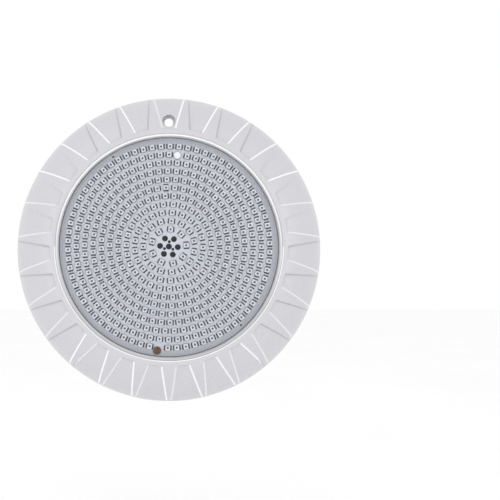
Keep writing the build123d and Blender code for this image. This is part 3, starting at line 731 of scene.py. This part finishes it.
# ---- LEDs ---------------------------------------------------------------------------------------
LED_SEGMENTS = 24
LED_HALF = 2.5 * MM
LED_EDGE = 0.25 * MM
LED_FOOT = 0.3 * MM
LED_NARROW = 0.88           # the package's width between its pins, as a share of its height
FOOT_HEIGHTS = (0.04 * MM, 0.08 * MM)       # at its outer edge and at the package
GROOVE_RADII = (2.25 * MM, 2.18 * MM)
GROOVE_DEPTH = 0.05 * MM
LIP_RADII = (2.1 * MM, 1.8 * MM)
LIP_HEIGHT = 0.06 * MM
WELL_RADIUS = 1.15 * MM
WELL_DEPTH = 0.5 * MM
SOLDER_LAP = 0.05 * MM      # how far the solder reaches into the package
SOLDER_WIDTH = 1.25 * MM    # and how far out from it
SOLDER_SLANT = 0.2 * MM
SOLDER_HEIGHTS = (0.25 * MM, 0.8 * MM)      # at its outer edge and at the package
SOLDER_HALF = 0.78 * MM
MIDDLE_SOLDER_HALF = 0.45 * MM
SOLDER_PITCH = 1.42 * MM
LED_COUNTS = [9, 15, 21, 27, 36, 42, 48, 54, 57, 64, 70]
FIRST_RING = 15.7 * MM
RING_PITCH = 7.55 * MM
FIRST_LED = 5.8             # the clock angle of the first LED of every ring
TURNED_RING = 6             # the last LED of this ring is fitted a quarter turn round
LED_ROOM = 3.0 * MM         # an LED whose centre is nearer to the plug or the cut-out is left out
PLUG_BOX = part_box("fill_plug")
CUTOUT_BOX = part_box("thermal_cutout")
LED_LOOKS = [MATERIALS["led_package"], LED_LIP, LED_WELL, LED_SOLDER_AND_SHADOW, LED_SEAM_AND_SHADOW]
BODY, LIP, WELL, SOLDER_AND_SHADOW, SEAM_AND_SHADOW = range(5)    # places in LED_LOOKS


def led_mesh():
    """One LED at the centre of the board: its points, its faces and each face's place in LED_LOOKS."""
    points = []

    def square(size, z):
        for i in range(LED_SEGMENTS):
            a = 2 * pi * i / LED_SEGMENTS
            reach = size / max(abs(cos(a)), abs(sin(a)))
            points.append((LED_NARROW * reach * sin(a), reach * cos(a), z))

    def circle(radius, z):
        for i in range(LED_SEGMENTS):
            x, y = clock(radius, 360 * i / LED_SEGMENTS)
            points.append((LED_NARROW * x, y, z))

    # the foot round the package and its sides take the painted shadow, the groove the dark seam
    square(LED_HALF + LED_FOOT, BOARD_FRONT)
    square(LED_HALF + LED_FOOT, BOARD_FRONT + FOOT_HEIGHTS[0])
    square(LED_HALF, BOARD_FRONT + FOOT_HEIGHTS[1])
    square(LED_HALF, LED_TOP - LED_EDGE)
    square(LED_HALF - LED_EDGE, LED_TOP)
    circle(GROOVE_RADII[0], LED_TOP)
    circle(GROOVE_RADII[1], LED_TOP - GROOVE_DEPTH)
    circle(LIP_RADII[0], LED_TOP + LIP_HEIGHT)
    circle(LIP_RADII[1], LED_TOP + LIP_HEIGHT)
    circle(WELL_RADIUS, LED_TOP - WELL_DEPTH)
    bands = [SEAM_AND_SHADOW] * 3 + [BODY] * 2 + [SEAM_AND_SHADOW] + [LIP] * 3
    faces = grid_faces(len(bands) + 1, LED_SEGMENTS)
    faces.append(tuple(range(LED_SEGMENTS)))
    faces.append(tuple(range(len(points) - LED_SEGMENTS, len(points))))
    kinds = [kind for kind in bands for _ in range(LED_SEGMENTS)] + [BODY, WELL]
    # solder pads beside the package, painted near black as solder and its shadow
    for side in (-1, 1):
        near = side * (LED_HALF * LED_NARROW - SOLDER_LAP)
        far = side * (LED_HALF * LED_NARROW + SOLDER_WIDTH)
        section = [(near, 0.0), (far, 0.0), (far - side * SOLDER_SLANT, SOLDER_HEIGHTS[0]),
                   (near, SOLDER_HEIGHTS[1])]
        for k, half in ((-1, SOLDER_HALF), (0, MIDDLE_SOLDER_HALF), (1, SOLDER_HALF)):
            a = len(points)
            b = a + 4
            for y in (k * SOLDER_PITCH - half, k * SOLDER_PITCH + half):
                points += [(x, y, BOARD_FRONT + up) for x, up in section]
            faces += [(a, a + 1, a + 2, a + 3), (b, b + 3, b + 2, b + 1)]
            faces += [(a + i, b + i, b + (i + 1) % 4, a + (i + 1) % 4) for i in range(4)]
            kinds += [SOLDER_AND_SHADOW] * 6
    return points, faces, kinds


def is_free(x, y):
    """Whether an LED fits here beside the fill plug and the thermal cut-out."""
    for low, high in (PLUG_BOX, CUTOUT_BOX):
        px, py = (low.x + high.x) / 2, (low.z + high.z) / 2
        if hypot(x - px, y - py) < (high.x - low.x) / 2 + LED_ROOM:
            return False
    return True


def led_ring(number):
    count = LED_COUNTS[number - 1]
    radius = FIRST_RING + (number - 1) * RING_PITCH
    shape, shape_faces, shape_kinds = led_mesh()
    points, faces, kinds = [], [], []
    for i in range(count):
        angle = FIRST_LED + i * 360 / count
        x, y = clock(radius, angle)
        if not is_free(x, y):
            continue
        turn = radians(90 if number == TURNED_RING and i == count - 1 else 0) + radians(angle)
        first = len(points)
        for px, py, pz in shape:
            points.append((x + px * cos(turn) + py * sin(turn), y - px * sin(turn) + py * cos(turn), pz))
        faces += [tuple(first + v for v in face) for face in shape_faces]
        kinds += shape_kinds
    node = f"led_ring_{number:02d}"
    name = f"leds_{number:02d}"
    piece = build(name, points, faces, "lamp", "led_package", LED_LOOKS, kinds, smooth=False)
    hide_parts(node)


for number in range(1, len(LED_COUNTS) + 1):
    led_ring(number)


# ---- clear resin --------------------------------------------------------------------------------
RESIN_SEGMENTS = 256
RESIN_CLEARANCE = 0.02 * MM     # above the board, and inside the housing's rim at the front
RESIN_FOOT_CLEARANCE = 0.1 * MM
MENISCUS_ROWS = 6
MENISCUS_WIDTH = 1.6 * MM
MENISCUS_RISE = 0.28 * MM


def clear_resin():
    """The cast front: flat, with a meniscus where it meets the housing's rim."""
    profile = [(RESIN_RADIUS - RESIN_FOOT_CLEARANCE, BOARD_FRONT + RESIN_CLEARANCE)]
    for i in range(MENISCUS_ROWS + 1):
        share = i / MENISCUS_ROWS
        radius = RESIN_RADIUS - RESIN_CLEARANCE - MENISCUS_WIDTH * share
        profile.append((radius, RESIN_FRONT + MENISCUS_RISE * (1 - share) ** 2))
    points = [(*clock(r, 360 * i / RESIN_SEGMENTS), z) for r, z in profile for i in range(RESIN_SEGMENTS)]
    faces = grid_faces(len(profile), RESIN_SEGMENTS)
    faces.append(tuple(range(len(points) - RESIN_SEGMENTS, len(points))))
    faces.append(tuple(range(RESIN_SEGMENTS)))
    surface, inside = range(2)
    materials = [MATERIALS["clear_resin"], RESIN_INSIDE]
    kinds = [inside] * RESIN_SEGMENTS + [surface] * (MENISCUS_ROWS * RESIN_SEGMENTS) + [surface, inside]
    piece = build("clear_resin_cast", points, faces, "lamp", "clear_resin", materials, kinds)
    for flat in list(piece.data.polygons)[-2:]:
        flat.use_smooth = False
    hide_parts("clear_resin")


clear_resin()


# ---- stage, lights and camera -------------------------------------------------------------------
FLOOR_DROP = 0.15           # the lamp hangs on its wall, this far above the floor
FLOOR_SIZE = 12
LIGHT_SIZE = 1.0
LIGHTS = [      # name, place, target and watts
    ("left_box", (-0.9, -0.9, 1.3), (0, 0, 0), 1.0),
    ("right_box", (0.9, -0.9, 1.3), (0, 0, 0), 0.7),
    ("left_fill", (-1.1, -1.3, 0.1), (0, 0, -0.1), 4.0),
    ("right_fill", (1.1, -1.3, 0.1), (0, 0, -0.1), 3.4),
]
EYE_DISTANCE = 0.6806
EYE_BELOW = 2.72            # degrees under the lamp's axis
LENS = 50.11
SENSOR = 36.0
SHIFT = (0.1622, -0.0016)


def floor():
    bpy.ops.mesh.primitive_plane_add(size=FLOOR_SIZE, location=(0, 0, -OUTER_RADIUS - FLOOR_DROP))
    plane = bpy.context.object
    plane.name = "floor"
    paper = Paint("floor_paper", (0.97, 0.97, 0.97), 0.9).vary_colour(3.0, 0.99, 1.01)
    plane.data.materials.append(paper.material)


def area_light(name, place, target, watts):
    data = bpy.data.lights.new(name, "AREA")
    data.shape = "SQUARE"
    data.size = LIGHT_SIZE
    data.energy = watts
    lamp = bpy.data.objects.new(name, data)
    lamp.location = place
    lamp.rotation_euler = (Vector(target) - Vector(place)).to_track_quat("-Z", "Y").to_euler()
    bpy.context.scene.collection.objects.link(lamp)


def world():
    """An evenly lit white room."""
    made = bpy.data.worlds.new("studio")
    made.use_nodes = True
    made.node_tree.nodes["Background"].inputs["Color"].default_value = (1, 1, 1, 1)
    made.node_tree.nodes["Background"].inputs["Strength"].default_value = 1.0
    bpy.context.scene.world = made


def camera():
    """A little below the lamp's axis; the shift frames the lamp left of the picture's middle."""
    data = bpy.data.cameras.new("camera")
    data.lens = LENS
    data.sensor_width = SENSOR
    data.shift_x, data.shift_y = SHIFT
    data.clip_start = 0.01
    eye = bpy.data.objects.new("camera", data)
    below = radians(EYE_BELOW)
    eye.location = (0, -EYE_DISTANCE * cos(below), -EYE_DISTANCE * sin(below))
    eye.rotation_euler = (-eye.location).to_track_quat("-Z", "Y").to_euler()
    bpy.context.scene.collection.objects.link(eye)
    bpy.context.scene.camera = eye


floor()
world()
for light in LIGHTS:
    area_light(*light)
camera()
bpy.context.scene.view_settings.view_transform = "Standard"
